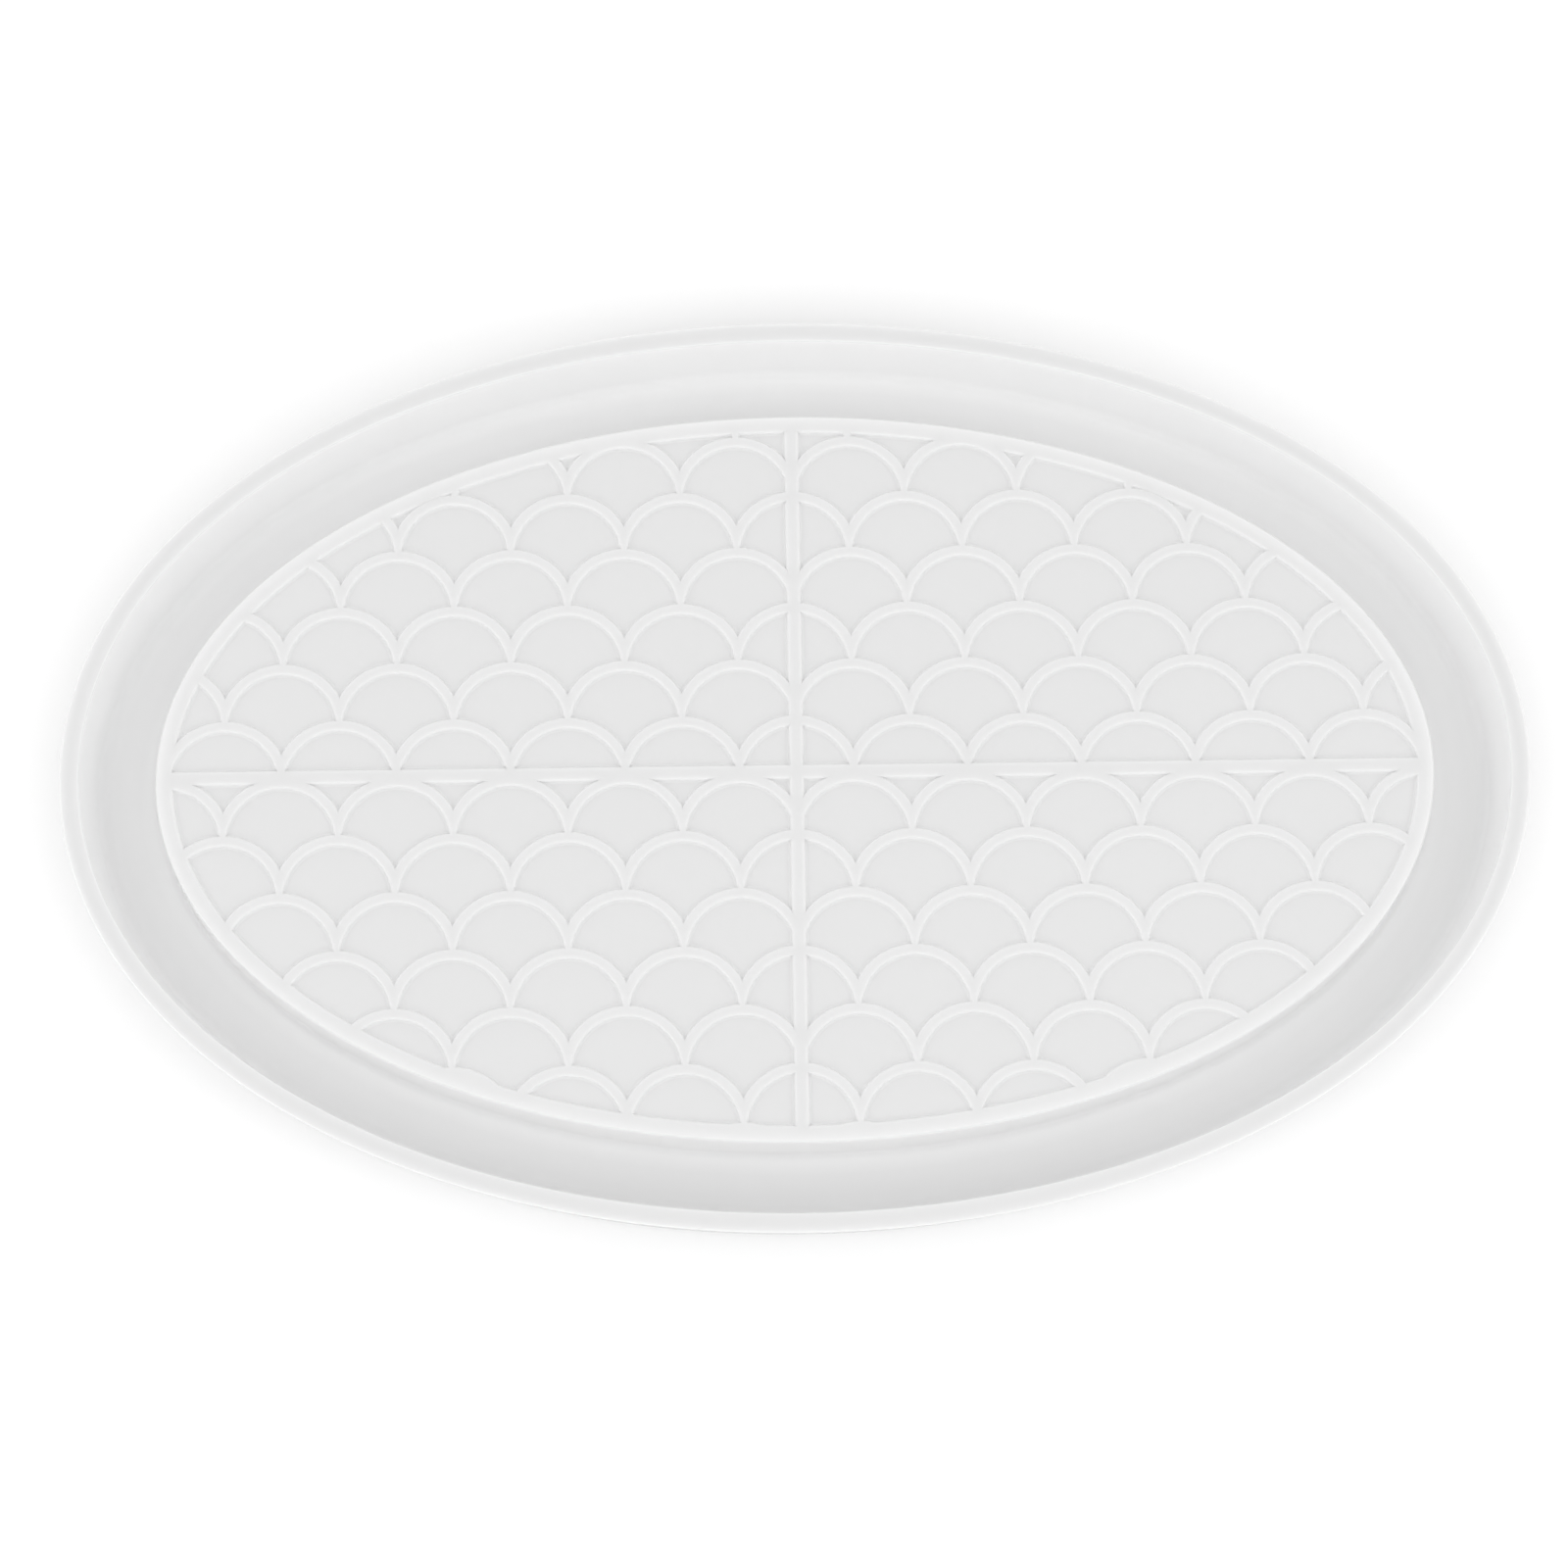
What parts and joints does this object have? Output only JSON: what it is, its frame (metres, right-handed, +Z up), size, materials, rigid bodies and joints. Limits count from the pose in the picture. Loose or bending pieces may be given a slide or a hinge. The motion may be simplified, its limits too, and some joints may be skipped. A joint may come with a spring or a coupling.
{
  "type": "resin tray casting mould",
  "caption": "Oval silicone mould for casting a shallow resin tray: a raised fish-scale island inside a deep channel and a flat rim.",
  "frame": {"origin": "centre of the underside, on the surface that the mould stands on", "axes": "+X along the oval's length, +Y across it, the way the scales point, +Z up out of the cavity"},
  "size_m": [0.3064, 0.1938, 0.023],
  "materials": {
    "silicone": "satin, milky white translucent silicone"
  },
  "bodies": {
    "root": {"channel_floor": "silicone", "outer_wall": "silicone", "island_wall": "silicone", "island_deck": "silicone", "scale_relief_back_left": "silicone", "scale_relief_back_right": "silicone", "scale_relief_front_left": "silicone", "scale_relief_front_right": "silicone"}
  },
  "joints": []
}
